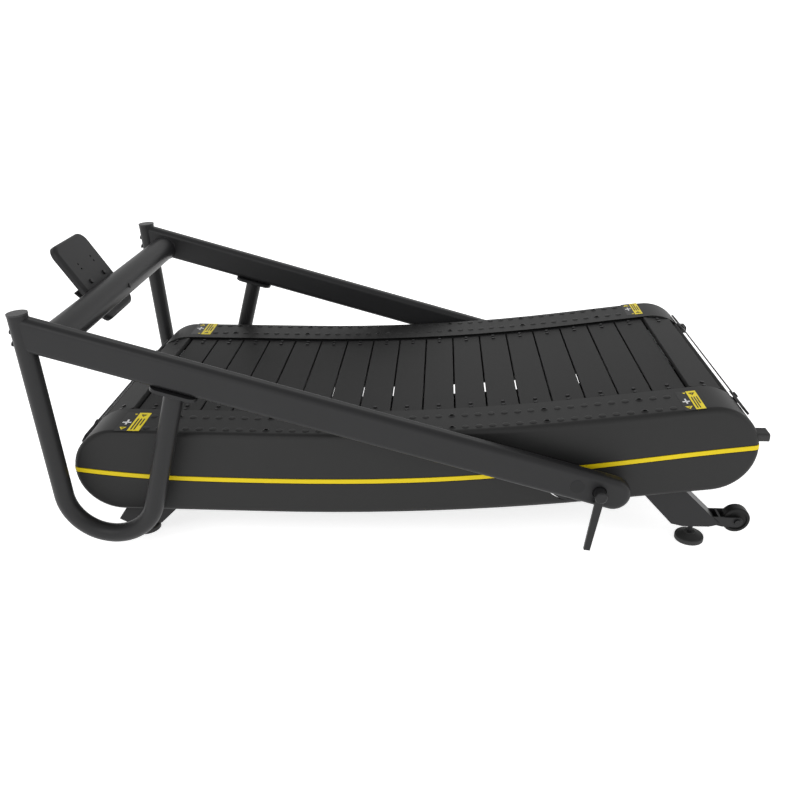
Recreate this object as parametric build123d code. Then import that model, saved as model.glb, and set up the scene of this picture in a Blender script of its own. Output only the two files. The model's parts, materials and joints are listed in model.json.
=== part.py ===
from build123d import *

import os
from math import cos, degrees, pi, radians, sin, tan

# Curved manual treadmill with its upright frame folded down over the deck.
# Millimetres. +X is the front of the machine, +Z is up, +Y is the left-hand side.
# The origin is on the floor, in the middle of the machine's length and width.
# Lengths along the machine are dimensioned from the middle of the deck, DATUM_X.

# ---------------------------------------------------------------- driving dimensions
DATUM_X = 25.4
SIDES = {"left": 1, "right": -1}

# Running belt: flat slats bolted to two endless rubber belts
SLAT_PITCH = 80.0
SLAT_COUNT = 42
SLAT_WIDTH = 76.0
SLAT_THICK = 12.0
SLAT_HALF_SPAN = 252.0
SLAT_EDGE = 2.0
SLAT_BOLT_Y = (223.5, 243.5)
SLAT_BOLT_R = 3.0
SLAT_BOLT_HEAD_R = 5.0
SLAT_BOLT_HEAD_H = 3.0
SLAT_PHASE = 17.7
BELT_Y = (212.0, 252.0)
BELT_PITCH_R = 86.0
BELT_OUTER_R = 89.8
SLAT_INNER_R = 90.0
BELT_INNER_R = 82.3
PULLEY_R = 82.0
SLAT_OUTER_R = SLAT_INNER_R + SLAT_THICK

# Centre curve of the deck: rear straight, one upward arc, front straight
REAR_TILT = radians(-0.36)
FRONT_TILT = radians(7.55)
DECK_ARC_R = 5600.0 + SLAT_OUTER_R
FRONT_STRAIGHT = 259.0
FRONT_CENTRE = (717.0, 280.8)

# Side structure
PLATE_Y = (259.0, 264.0)
PLATE_R = 104.0
RAIL_Y = (312.0, 362.0)
RAIL_OFFSET = (-40.0, 20.0)
RAIL_WALL = 4.0
RAIL_OVERRUN = 20.0
CROSS_MEMBER_FRACTIONS = (0.24, 0.5, 0.76)
CROSS_MEMBER_SIZE = (60.0, 50.0)
CROSS_MEMBER_OFFSET = -10.0
PLATE_CUT = (150.0, -45.0)
COVER_Y = (258.0, 387.0)
COVER_R = 108.0
COVER_WALL = 4.0
COVER_EDGE_R = 12.0
COVER_LIP_Y = 379.0
COVER_SCREW_PITCH = 225.0
COVER_SCREW_START = 140.0
COVER_SCREW_COUNT = 6
COVER_SCREW_Y = (300.0, 363.0)
COVER_SCREW_R = 2.5
COVER_HEAD_R = 4.5
COVER_HEAD_SEAT = 105.5
COVER_HEAD_H = 1.5
STRIPE_WIDTH = 11.0
STRIPE_GROOVE = 15.0
STRIPE_DEPTH = 2.0
STRIPE_PROUD = 0.6
STRIPE_WRAP_Y = 345.0
STRIPE_PATH = (
    (-0.09, 7.0), (0.06, -12.5), (0.2, -16.5), (0.55, -16.5), (0.8, -10.0), (0.94, -5.0), (1.09, -3.0)
)

# Axles, pulleys and support bearings
AXLE_R = 15.0
AXLE_HALF = 286.0
BLOCK_R = 42.0
BLOCK_DEPTH = 22.0
BEARING_R = 16.0
BEARING_Y = (228.0, 240.0)
BEARING_COUNT = 15
BEARING_BORE = 6.0
SHAFT_CLEARANCE = 0.05

# Guard bars across both ends of the deck
GUARD_ANGLE = {"front": 43.0, "rear": 148.0}
GUARD_R = (112.0, 115.0)
GUARD_BRACKET_R = 109.5
GUARD_WIDTH = 24.0
GUARD_HALF = 333.0
GUARD_SCREW_Y = 243.0
GUARD_SCREW_R = 4.0

# Legs, feet and transport wheels
LEG_Y = (298.0, 348.0)
LEG_WALL = 5.0
FRONT_LEG_BOTTOM = 50.0
REAR_LEG_BOTTOM = 30.0
FOOT_Y = 323.0
FOOT_X = {"front": 718.0, "rear": -664.0}
PAD_R = 35.0
PAD_RIM = 12.0
PAD_TOP = 19.0
STUD_R = 6.0
NUT_R = 10.0
NUT_H = 8.0
WHEEL_R = 33.5
WHEEL_WIDTH = 28.0
WHEEL_AXIS = (822.5, 62.0)
WHEEL_BOLT_R = 5.0
FORK_GAP = 36.0
FORK_PLATE = 4.0
FORK_END_R = 13.0

# Rubber bumpers in the front noses of the covers
BUMPER_X = (803.0, 844.0)
BUMPER_Y = (342.0, 382.0)
BUMPER_Z = (303.0, 323.0)
BUMPER_EDGE_R = 6.0
BUMPER_FLANGE = 6.0

# Upright frame, in its own frame: origin on the pivot, x along the arm to the front
PIVOT = (405.0, 218.0)
FOLD_ANGLE = 16.0
FOLD_TRAVEL = 82.0
ARM_Y = (412.0, 452.0)
ARM_MID_Y = 432.0
ARM_HALF_HEIGHT = 39.0
ARM_EDGE_R = 14.0
ARM_WALL = 3.0
ARM_REAR = -1310.0
ARM_FRONT = 90.0
POST_TILT = 2.87
POST_TOP = (-832.2, 614.0)
TUBE_R = 22.5
TUBE_WALL = 3.0
POST_CAP_R = 23.2
POST_CAP_H = 4.0
LOOP_BEND_R = 110.6
LOOP_FOOT_X = -936.0
FLANGE_SIZE = (108.0, 54.0, 8.0)
FLANGE_CORNER = 20.0
FLANGE_BOLT_PITCH = 80.0
FRAME_BOLT_R = 4.0
FRAME_BOLT_HEAD_R = 7.0
POST_BOLT_Z = (-4.0, -31.0)
POST_BOLT_X = -1308.1
POST_BOLT_SLOPE = 0.28
CROSSBAR_AT = (-1228.0, -12.0)
CROSSBAR_R = 35.0

# Console plate, in its own frame: origin on the crossbar, y up the plate
CONSOLE_TILT = 32.5
CONSOLE_WIDTH = 190.0
CONSOLE_B = (-57.0, 171.0)
CONSOLE_C = (-43.0, -25.0)
CONSOLE_CORNER = 30.0
CONSOLE_EDGE = 10.0
LEDGE_HALF = 80.0
LEDGE_BASE = 26.0

# Pivot, lock disc and clamp lever
PIVOT_R = 10.0
PIVOT_CAP_R = 17.0
PIN_HEAD_R = 14.0
PIN_HEAD_Y = 389.0
HUB_R = 16.0
HUB_AT = ((20.0, -106.0), (40.0, -155.0))
HUB_PLATE = ((-56.0, 30.0), (-38.0, 30.0), 8.0)
LOCK_DISC_R = 66.0
LOCK_DISC_TOP = 13.0
LOCK_DISC_Y = (396.0, 406.0)
LOCK_RADIUS = 53.5
LOCK_SLOT_HALF = 6.8
PIVOT_WINDOW_R = 77.0
PIVOT_WINDOW_TOP = 4.0
CLAMP_BOLT_R = 5.95
CLAMP_HOLE_R = 16.5
LEVER_BOSS_R = 14.5
LEVER_LENGTH = 146.0
LEVER_HALF_WIDTH = (9.5, 7.3)
LEVER_LEAN = 7.8
BODY_GAP = 0.3

# ---------------------------------------------------------------- centre curve
ARC_TURN = FRONT_TILT - REAR_TILT
ARC_LENGTH = DECK_ARC_R * ARC_TURN
CENTRE_LENGTH = (SLAT_COUNT * SLAT_PITCH - 2 * pi * BELT_PITCH_R) / 2
REAR_STRAIGHT = CENTRE_LENGTH - ARC_LENGTH - FRONT_STRAIGHT
ARC_END = (
    FRONT_CENTRE[0] - FRONT_STRAIGHT * cos(FRONT_TILT),
    FRONT_CENTRE[1] - FRONT_STRAIGHT * sin(FRONT_TILT),
)
ARC_CENTRE = (
    ARC_END[0] - DECK_ARC_R * sin(FRONT_TILT),
    ARC_END[1] + DECK_ARC_R * cos(FRONT_TILT),
)


def deck_angle(s):
    """Angle of the centre curve at a distance s forward of the rear pulley's centre."""
    turned = min(max(s - REAR_STRAIGHT, 0.0), ARC_LENGTH)
    return REAR_TILT + turned / DECK_ARC_R


def deck(s, offset=0.0):
    """Point at a distance s along the centre curve and an offset above it."""
    angle = deck_angle(s)
    run = s - REAR_STRAIGHT - min(max(s - REAR_STRAIGHT, 0.0), ARC_LENGTH)
    reach = DECK_ARC_R - offset
    return Vector(
        ARC_CENTRE[0] + reach * sin(angle) + run * cos(angle),
        0,
        ARC_CENTRE[1] - reach * cos(angle) + run * sin(angle),
    )


def deck_place(s, offset):
    """Place on the deck: x along the deck to the front, z away from the centre curve."""
    at = deck(s, offset)
    return Pos(at.X, at.Y, at.Z) * Rot(0, -degrees(deck_angle(s)), 0)


def deck_run(offset, start, end):
    """Edges that follow the deck at one offset from start to end."""
    bends = sorted((REAR_STRAIGHT, REAR_STRAIGHT + ARC_LENGTH), reverse=start > end)
    low, high = min(start, end), max(start, end)
    stops = [start] + [s for s in bends if low < s < high] + [end]
    edges = []
    for a, b in zip(stops, stops[1:]):
        middle = (a + b) / 2
        if REAR_STRAIGHT < middle < REAR_STRAIGHT + ARC_LENGTH:
            edges.append(ThreePointArc(deck(a, offset), deck(middle, offset), deck(b, offset)))
        else:
            edges.append(Line(deck(a, offset), deck(b, offset)))
    return edges


def deck_end(start, end, angle):
    """Half-round end between two points, bulging towards an angle."""
    middle = (start + end) / 2
    radius = (start - end).length / 2
    tip = middle + Vector(cos(angle), 0, sin(angle)) * radius
    return ThreePointArc(start, tip, end)


def deck_outline(radius):
    """Closed outline at one distance all round the centre curve, with round ends."""
    front = deck_end(deck(CENTRE_LENGTH, radius), deck(CENTRE_LENGTH, -radius), FRONT_TILT)
    rear = deck_end(deck(0, -radius), deck(0, radius), REAR_TILT + pi)
    top = deck_run(radius, 0, CENTRE_LENGTH)
    bottom = deck_run(-radius, CENTRE_LENGTH, 0)
    return Wire(top + [front] + bottom + [rear])


def deck_band(low, high, start, end):
    """Face between two offsets along part of the deck, with square ends."""
    front = [Line(deck(end, high), deck(end, low))]
    rear = [Line(deck(start, low), deck(start, high))]
    return Face(Wire(deck_run(high, start, end) + front + deck_run(low, end, start) + rear))


# ---------------------------------------------------------------- shape helpers
def slab(face, y_low, y_high):
    """Solid from a face in the XZ plane, between two y values."""
    return extrude(Pos(0, y_low, 0) * face, amount=y_high - y_low, dir=(0, 1, 0))


def polygon(points):
    """Face in the XZ plane from a few corners."""
    corners = [Vector(x, 0, z) for x, z in points]
    return Face(Wire.make_polygon(corners, close=True))


def disc(x, z, radius, y_low, y_high):
    """Cylinder along Y."""
    tube = Rot(90, 0, 0) * Cylinder(radius, y_high - y_low)
    return Pos(x, (y_low + y_high) / 2, z) * tube


def turned(x, z, steps):
    """Round piece along Y from (radius, y_low, y_high) steps."""
    piece = disc(x, z, *steps[0])
    for step in steps[1:]:
        piece += disc(x, z, *step)
    return piece


def peg(radius, low, high):
    """Cylinder along Z between two heights."""
    return Pos(0, 0, (low + high) / 2) * Cylinder(radius, high - low)


def block(x, y, z):
    """Box from three (low, high) pairs."""
    size = [high - low for low, high in (x, y, z)]
    middle = [(high + low) / 2 for low, high in (x, y, z)]
    return Pos(*middle) * Box(*size)


def inset(points, depth):
    """Corners of a convex polygon moved inwards by one wall thickness."""
    area = sum(a[0] * b[1] - b[0] * a[1] for a, b in zip(points, points[1:] + points[:1]))
    turn = 1 if area > 0 else -1
    lines = []
    for a, b in zip(points, points[1:] + points[:1]):
        along = (Vector(b[0], b[1]) - Vector(a[0], a[1])).normalized()
        normal = Vector(-along.Y, along.X) * turn
        lines.append((Vector(a[0], a[1]) + normal * depth, along))
    corners = []
    for (p, u), (q, v) in zip(lines[-1:] + lines[:-1], lines):
        step = ((q.X - p.X) * v.Y - (q.Y - p.Y) * v.X) / (u.X * v.Y - u.Y * v.X)
        corners.append((p.X + u.X * step, p.Y + u.Y * step))
    return corners


def other_side(piece):
    """The same piece on the right-hand side."""
    return mirror(piece, about=Plane.XZ)


def both(piece):
    """A left-hand piece and its right-hand twin."""
    return [piece, other_side(piece)]


def end_place(end):
    """Place of a guard bar's frame: x points outwards through the bar."""
    centre = deck(CENTRE_LENGTH) if end == "front" else deck(0)
    return Pos(centre.X, 0, centre.Z) * Rot(0, -GUARD_ANGLE[end], 0)


def frame_place():
    """Place of the upright frame's own axes in the folded position."""
    return Pos(PIVOT[0], 0, PIVOT[1]) * Rot(0, FOLD_ANGLE, 0)


def frame_point(x, z):
    """Point of the upright frame, in machine axes."""
    turn = radians(FOLD_ANGLE)
    return Vector(
        PIVOT[0] + x * cos(turn) + z * sin(turn), 0, PIVOT[1] - x * sin(turn) + z * cos(turn)
    )


parts = {}


def keep(name, *solids):
    """Stores the solids of one node, moved from the deck's datum to the machine's origin."""
    pieces = [Pos(DATUM_X, 0, 0) * Part(piece.wrapped) for piece in solids]
    parts[name] = Compound(children=[solid for piece in pieces for solid in piece.solids()])


# ---------------------------------------------------------------- running belt
def slat_places():
    """Places of all slats round the loop: x along the travel, z outwards."""
    front = deck_end(
        deck(CENTRE_LENGTH, BELT_PITCH_R), deck(CENTRE_LENGTH, -BELT_PITCH_R), FRONT_TILT
    )
    rear = deck_end(deck(0, -BELT_PITCH_R), deck(0, BELT_PITCH_R), REAR_TILT + pi)
    runs = deck_run(BELT_PITCH_R, 0, CENTRE_LENGTH) + [front]
    runs += deck_run(-BELT_PITCH_R, CENTRE_LENGTH, 0) + [rear]
    top_length = CENTRE_LENGTH - BELT_PITCH_R * ARC_TURN
    places = []
    for index in range(SLAT_COUNT):
        travel = (top_length + SLAT_PHASE + index * SLAT_PITCH) % (SLAT_COUNT * SLAT_PITCH)
        for run in runs:
            if travel <= run.length:
                break
            travel -= run.length
        point = run.position_at(travel / run.length)
        along = run.tangent_at(travel / run.length)
        outward = Vector(-along.Z, 0, along.X)
        places.append(Plane(origin=point, x_dir=along, z_dir=outward).location)
    return places


def slat():
    """One slat with its four bolt holes; z is measured from the belt's pitch line."""
    low = SLAT_INNER_R - BELT_PITCH_R
    plate = block(
        (-SLAT_WIDTH / 2, SLAT_WIDTH / 2),
        (-SLAT_HALF_SPAN, SLAT_HALF_SPAN),
        (low, low + SLAT_THICK),
    )
    plate = fillet(plate.faces().sort_by(Axis.Z)[-1].edges().filter_by(Axis.Y), SLAT_EDGE)
    for y in SLAT_BOLT_Y:
        for side in SIDES.values():
            plate -= Pos(0, side * y, 0) * peg(SLAT_BOLT_R, low, low + SLAT_THICK)
    return plate


def slat_bolt():
    """One button-head bolt that holds a slat on a belt."""
    top = SLAT_OUTER_R - BELT_PITCH_R
    head = peg(SLAT_BOLT_HEAD_R, top, top + SLAT_BOLT_HEAD_H)
    head = fillet(head.edges().sort_by(Axis.Z)[-1], SLAT_BOLT_HEAD_H / 2)
    return head + peg(SLAT_BOLT_R, 0, top)


def build_running_belt():
    places = slat_places()
    one_slat = slat()
    one_bolt = slat_bolt()
    keep("slats", *[place * one_slat for place in places])
    offsets = [Pos(0, side * y, 0) for y in SLAT_BOLT_Y for side in SIDES.values()]
    keep("slat_bolts", *[place * offset * one_bolt for place in places for offset in offsets])
    ring = Face(deck_outline(BELT_OUTER_R), [deck_outline(BELT_INNER_R)])
    belt = slab(ring, *BELT_Y)
    holes = [
        place * Pos(0, y, 0) * peg(SLAT_BOLT_R, 0, BELT_OUTER_R - BELT_PITCH_R + 1)
        for place in places
        for y in SLAT_BOLT_Y
    ]
    keep("belts", *both(belt - holes))


# ---------------------------------------------------------------- rollers and bearings
def bearing_places():
    """Distances along the deck of the support bearings."""
    start = (CENTRE_LENGTH - (BEARING_COUNT - 1) * SLAT_PITCH) / 2
    return [start + index * SLAT_PITCH for index in range(BEARING_COUNT)]


def pulley(centre):
    """Flat belt pulley with a web and a hub."""
    wheel = disc(centre.X, centre.Z, PULLEY_R, *BELT_Y)
    middle = sum(BELT_Y) / 2
    for y_low, y_high in ((BELT_Y[0], middle - 5), (middle + 5, BELT_Y[1])):
        pocket = disc(centre.X, centre.Z, PULLEY_R - 9, y_low, y_high)
        wheel -= pocket - disc(centre.X, centre.Z, 2 * AXLE_R, y_low, y_high)
    return wheel - disc(centre.X, centre.Z, AXLE_R, *BELT_Y)


def build_rollers():
    blocks = []
    for end, centre in (("front", deck(CENTRE_LENGTH)), ("rear", deck(0))):
        keep(f"{end}_axle", disc(centre.X, centre.Z, AXLE_R, -AXLE_HALF, AXLE_HALF))
        keep(f"{end}_pulleys", *both(pulley(centre)))
        housing = disc(centre.X, centre.Z, BLOCK_R, PLATE_Y[1], PLATE_Y[1] + BLOCK_DEPTH)
        housing = fillet(housing.edges().sort_by(Axis.Y)[-1], 6)
        bore = disc(centre.X, centre.Z, AXLE_R + SHAFT_CLEARANCE, PLATE_Y[1], AXLE_HALF)
        blocks += both(housing - bore)
    keep("axle_bearing_blocks", *blocks)


def build_support_bearings():
    bearings, bolts = [], []
    for s in bearing_places():
        at = deck(s, PULLEY_R - BEARING_R)
        ring = disc(at.X, at.Z, BEARING_R, *BEARING_Y) - disc(at.X, at.Z, BEARING_BORE, *BEARING_Y)
        bearings += both(ring)
        shaft = BEARING_BORE - SHAFT_CLEARANCE
        steps = (
            (shaft, BEARING_Y[0] - 6, PLATE_Y[1] + 7),
            (1.5 * BEARING_BORE, BEARING_Y[0] - 6, BEARING_Y[0]),
            (1.5 * BEARING_BORE, BEARING_Y[1], PLATE_Y[0]),
            (1.6 * BEARING_BORE, PLATE_Y[1], PLATE_Y[1] + 7),
        )
        bolts += both(turned(at.X, at.Z, steps))
    keep("support_bearings", *bearings)
    keep("bearing_bolts", *bolts)


# ---------------------------------------------------------------- deck structure
def cross_member(s, wall):
    """Cross tube between the side rails; wall 0 gives its solid envelope."""
    length, height = CROSS_MEMBER_SIZE
    half = RAIL_Y[0]
    tube = Box(length, 2 * half, height)
    if wall:
        tube -= Box(length - 2 * wall, 2 * half, height - 2 * wall)
    return deck_place(s, CROSS_MEMBER_OFFSET) * tube


def build_side_structure():
    members = [fraction * CENTRE_LENGTH for fraction in CROSS_MEMBER_FRACTIONS]
    keep("cross_members", *[cross_member(s, RAIL_WALL) for s in members])

    plate = slab(Face(deck_outline(PLATE_R)), *PLATE_Y)
    margin, cut_top = PLATE_CUT
    plate -= slab(deck_band(-PLATE_R - 2, cut_top, margin, CENTRE_LENGTH - margin), *PLATE_Y)
    for end in GUARD_ANGLE:
        ear = block((PLATE_R - 6, GUARD_BRACKET_R), PLATE_Y, (-9, 9))
        plate += end_place(end) * ear
    plate -= [cross_member(s, 0) for s in members]
    for s in bearing_places():
        at = deck(s, PULLEY_R - BEARING_R)
        plate -= disc(at.X, at.Z, BEARING_BORE, *PLATE_Y)
    for centre in (deck(CENTRE_LENGTH), deck(0)):
        plate -= disc(centre.X, centre.Z, AXLE_R + 2, *PLATE_Y)
    keep("side_plate_left", plate)
    keep("side_plate_right", other_side(plate))

    low, high = RAIL_OFFSET
    start, end = -RAIL_OVERRUN, CENTRE_LENGTH + RAIL_OVERRUN
    rail = slab(deck_band(low, high, start, end), *RAIL_Y)
    core = deck_band(low + RAIL_WALL, high - RAIL_WALL, start, end)
    rail -= slab(core, RAIL_Y[0] + RAIL_WALL, RAIL_Y[1] - RAIL_WALL)
    keep("side_rail_left", rail)
    keep("side_rail_right", other_side(rail))


def cover_screw_places():
    """Places of the left-hand cover's screws, with z = 0 on the centre curve."""
    stations = [COVER_SCREW_START + i * COVER_SCREW_PITCH for i in range(COVER_SCREW_COUNT)]
    return [deck_place(s, 0) * Pos(0, y, 0) for s in stations for y in COVER_SCREW_Y]


def cover_screw(seat_top=COVER_HEAD_SEAT + COVER_HEAD_H):
    """Screw through a cover's top; its seat can be drawn up through the surface."""
    return peg(COVER_SCREW_R, 98.0, COVER_HEAD_SEAT) + peg(COVER_HEAD_R, COVER_HEAD_SEAT, seat_top)


def build_cover_brackets():
    """T-shaped brackets on the side rails that carry the covers, and their screws."""
    inner_top = COVER_R - COVER_WALL
    y_low, y_high = COVER_SCREW_Y
    middle = (y_low + y_high) / 2
    shape = block((-10, 10), (y_low - 10, y_high + 10), (98.0, inner_top))
    shape += block((-10, 10), (middle - 7, middle + 7), (RAIL_OFFSET[1], 98.0))
    for y in COVER_SCREW_Y:
        shape -= Pos(0, y, 0) * peg(COVER_SCREW_R, 98.0, inner_top)
    stations = [COVER_SCREW_START + i * COVER_SCREW_PITCH for i in range(COVER_SCREW_COUNT)]
    keep("cover_brackets", *[s for at in stations for s in both(deck_place(at, 0) * shape)])
    screw = cover_screw()
    keep("cover_screws", *[s for place in cover_screw_places() for s in both(place * screw)])


def bumper(start):
    """Left-hand bumper from a given x to its front face, with rounded long edges."""
    bar = block((start, BUMPER_X[1]), BUMPER_Y, BUMPER_Z)
    return fillet(bar.edges().filter_by(Axis.X), BUMPER_EDGE_R)


def build_bumpers():
    flange = block(
        (BUMPER_X[0], BUMPER_X[0] + BUMPER_FLANGE),
        (BUMPER_Y[0] - BUMPER_FLANGE, BUMPER_Y[1] - 2 * BUMPER_FLANGE),
        (BUMPER_Z[0] - BUMPER_FLANGE, BUMPER_Z[1] + BUMPER_FLANGE),
    )
    keep("front_bumpers", *both(bumper(BUMPER_X[0]) + flange))


# ---------------------------------------------------------------- legs, feet and wheels
def leg_corners(end):
    """Outline of a leg: it hangs from the rail and leans towards its end."""
    if end == "front":
        top = [deck(CENTRE_LENGTH - d, RAIL_OFFSET[0]) for d in (116.0, 207.0)]
        bottom = [(661.5, 57.0), (690.0, FRONT_LEG_BOTTOM), (754.0, FRONT_LEG_BOTTOM), (780.0, 57.0)]
    else:
        top = [deck(s, RAIL_OFFSET[0]) for s in (204.0, 48.0)]
        bottom = [(-722.0, 40.0), (-704.0, REAR_LEG_BOTTOM), (-614.0, REAR_LEG_BOTTOM)]
    return [(p.X, p.Z) for p in top] + bottom


def leg(end):
    """Solid envelope of a leg."""
    return slab(polygon(leg_corners(end)), *LEG_Y)


def leg_bottom(end):
    return FRONT_LEG_BOTTOM if end == "front" else REAR_LEG_BOTTOM


def build_leg(end):
    hollow = polygon(inset(leg_corners(end), LEG_WALL))
    shell = leg(end) - slab(hollow, LEG_Y[0] + LEG_WALL, LEG_Y[1] - LEG_WALL)
    floor = leg_bottom(end)
    bore = peg(STUD_R + SHAFT_CLEARANCE, floor, floor + LEG_WALL)
    shell -= Pos(FOOT_X[end], FOOT_Y, 0) * bore
    keep(f"{end}_leg_left", shell)
    keep(f"{end}_leg_right", other_side(shell))


def build_foot(end):
    """Levelling foot: a domed rubber pad and a threaded stud with its jam nut."""
    rim = peg(PAD_R, 0, PAD_RIM)
    rim = fillet(rim.edges().sort_by(Axis.Z)[-1], 4)
    foot = (Align.CENTER, Align.CENTER, Align.MIN)
    dome = Pos(0, 0, PAD_RIM) * Cone(PAD_R - 5, 13, PAD_TOP - PAD_RIM, align=foot)
    pad = rim + dome + peg(13, PAD_TOP, PAD_TOP + 2) - peg(STUD_R, 6, PAD_TOP + 2)
    top = leg_bottom(end) - BODY_GAP
    nut = extrude(RegularPolygon(NUT_R, 6), amount=NUT_H)
    stud = peg(STUD_R, 6, leg_bottom(end) + 30) + Pos(0, 0, top - NUT_H) * nut
    place = Pos(FOOT_X[end], FOOT_Y, 0)
    for name, flip in (("left", False), ("right", True)):
        for kind, piece in (("pad", place * pad), ("stud", place * stud)):
            keep(f"{end}_foot_{kind}_{name}", other_side(piece) if flip else piece)


def build_wheels():
    x, z = WHEEL_AXIS
    tyre = disc(x, z, WHEEL_R, FOOT_Y - WHEEL_WIDTH / 2, FOOT_Y + WHEEL_WIDTH / 2)
    tyre = fillet(tyre.edges(), 4)
    for y in (FOOT_Y - WHEEL_WIDTH / 2, FOOT_Y + WHEEL_WIDTH / 2 - 3):
        tyre -= disc(x, z, WHEEL_R - 8, y, y + 3) - disc(x, z, 2 * WHEEL_BOLT_R, y, y + 3)
    bore = WHEEL_BOLT_R + SHAFT_CLEARANCE
    tyre -= disc(x, z, bore, FOOT_Y - WHEEL_WIDTH, FOOT_Y + WHEEL_WIDTH)
    keep("transport_wheel_left", tyre)
    keep("transport_wheel_right", other_side(tyre))

    low, high = z - FORK_END_R, z + FORK_END_R
    face = polygon([(730.0, high), (x, high), (x, low), (x - 36, low), (760.0, low + 7)])
    inner = FOOT_Y - FORK_GAP / 2
    outer = FOOT_Y + FORK_GAP / 2
    fork = block((776.0, 781.0), (inner, outer), (low + 7, high))
    for y in (inner - FORK_PLATE, outer):
        fork += slab(face, y, y + FORK_PLATE) + disc(x, z, FORK_END_R, y, y + FORK_PLATE)
    fork -= disc(x, z, WHEEL_BOLT_R, inner - FORK_PLATE, outer + FORK_PLATE)
    keep("wheel_forks", *both(fork - leg("front")))

    ends = (inner - FORK_PLATE, outer + FORK_PLATE)
    bolt = turned(x, z, (
        (WHEEL_BOLT_R, ends[0] - 6, ends[1] + 5),
        (8.0, ends[0] - 6, ends[0]),
        (8.5, ends[1], ends[1] + 5),
    ))
    keep("wheel_bolts", *both(bolt))


# ---------------------------------------------------------------- covers, stripes, guards
def cover_skin(grow, y_low=COVER_Y[0]):
    """Solid outside of the left-hand cover, grown or shrunk by a few millimetres."""
    skin = slab(Face(deck_outline(COVER_R + grow)), y_low, COVER_Y[1] + grow)
    return fillet(skin.faces().sort_by(Axis.Y)[-1].edges(), COVER_EDGE_R + grow)


def stripe_band(width, grow):
    """Part of a cover's surface layer under a band that runs along it and round its noses."""
    path = [deck(fraction * CENTRE_LENGTH, offset) for fraction, offset in STRIPE_PATH]
    lift = Vector(0, 0, width / 2)
    upper = Spline([p + lift for p in path])
    lower = Spline([p - lift for p in reversed(path)])
    ends = [Line(upper @ 1, lower @ 0), Line(lower @ 1, upper @ 0)]
    band = slab(Face(Wire([upper, ends[0], lower, ends[1]])), STRIPE_WRAP_Y, COVER_Y[1] + 5)
    return (cover_skin(grow) - cover_skin(-STRIPE_DEPTH)) & band


def below_arm(radius, top, y_low, y_high):
    """Round plate on the pivot, cut straight a little above the folded arm's middle line."""
    above = block((-2 * radius, 2 * radius), (y_low, y_high), (top, top + 2 * radius))
    return disc(*PIVOT, radius, y_low, y_high) - frame_place() * above


def build_covers():
    cavity = slab(Face(deck_outline(COVER_R - COVER_WALL)), COVER_Y[0] - 5, COVER_Y[1] - COVER_WALL)
    cavity = fillet(cavity.faces().sort_by(Axis.Y)[-1].edges(), COVER_EDGE_R - COVER_WALL)
    bottom = deck_band(-COVER_R - 2, -COVER_R + COVER_WALL + 2, 0, CENTRE_LENGTH)
    window = below_arm(PIVOT_WINDOW_R, PIVOT_WINDOW_TOP, COVER_Y[1] - 10, COVER_Y[1] + 1)
    cover = cover_skin(0) - cavity - window
    cover -= slab(bottom, COVER_Y[0] - 1, COVER_LIP_Y)
    cover -= bumper(BUMPER_X[0])
    seat = cover_screw(seat_top=COVER_R + 1)
    cover -= [place * seat for place in cover_screw_places()]
    for end in GUARD_ANGLE:
        cover -= end_place(end) * block((98, 112), (COVER_Y[0], PLATE_Y[1] + 1), (-10, 10))
    cover -= stripe_band(STRIPE_GROOVE, 1.0)
    keep("cover_left", cover)
    keep("cover_right", other_side(cover))
    stripe = stripe_band(STRIPE_WIDTH, STRIPE_PROUD)
    keep("stripe_left", stripe)
    keep("stripe_right", other_side(stripe))


def build_guards():
    brackets, screws = [], []
    half = GUARD_WIDTH / 2
    for end in GUARD_ANGLE:
        place = end_place(end)
        bar = block(GUARD_R, (-GUARD_HALF, GUARD_HALF), (-half, half))
        bar = fillet(bar.edges().filter_by(Axis.X), 5)
        bracket = block((GUARD_BRACKET_R, GUARD_R[0]), (233.0, 330.0), (-half, half))
        for side in SIDES.values():
            hole = Rot(0, 90, 0) * peg(GUARD_SCREW_R, GUARD_BRACKET_R, GUARD_R[1])
            hole = Pos(0, side * GUARD_SCREW_Y, 0) * hole
            bar -= hole
            if side > 0:
                bracket -= hole
        head = peg(8.0, GUARD_R[1], GUARD_R[1] + 4)
        head = fillet(head.edges().sort_by(Axis.Z)[-1], 2.5)
        screw = Rot(0, 90, 0) * (head + peg(GUARD_SCREW_R, GUARD_BRACKET_R, GUARD_R[1]))
        keep(f"{end}_guard", place * bar)
        brackets += both(place * bracket)
        screws += both(place * Pos(0, GUARD_SCREW_Y, 0) * screw)
    keep("guard_brackets", *brackets)
    keep("guard_screws", *screws)


# ---------------------------------------------------------------- upright frame
def post_direction():
    tilt = radians(POST_TILT)
    return Vector(sin(tilt), 0, -cos(tilt))


def loop_corner():
    """Where the post line and the rising leg's line of a handrail loop would meet."""
    top = Vector(POST_TOP[0], 0, POST_TOP[1])
    down = post_direction()
    foot = frame_point(LOOP_FOOT_X, -ARM_HALF_HEIGHT - FLANGE_SIZE[2])
    rise = frame_point(LOOP_FOOT_X, 0) - frame_point(LOOP_FOOT_X, -1)
    gap = foot - top
    step = (gap.X * rise.Z - gap.Z * rise.X) / (down.X * rise.Z - down.Z * rise.X)
    return top, top + down * step, foot


def build_handrail():
    top, corner, foot = loop_corner()
    path = FilletPolyline(top, corner, foot, radius=LOOP_BEND_R)
    section = Plane(origin=path @ 0, z_dir=path % 0)
    ring = section * (Circle(TUBE_R) - Circle(TUBE_R - TUBE_WALL))
    loop = Pos(0, ARM_MID_Y, 0) * sweep(ring, path=path)
    loop -= [frame_place() * post_bolt(z) for z in POST_BOLT_Z]
    keep("handrail_loop_left", loop)
    keep("handrail_loop_right", other_side(loop))
    place = Pos(0, ARM_MID_Y, 0) * Plane(origin=top, z_dir=-post_direction()).location
    cap = peg(POST_CAP_R, 0, POST_CAP_H) + peg(TUBE_R - TUBE_WALL, -12, 0)
    keep("post_caps", *both(place * cap))
    return path


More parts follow.
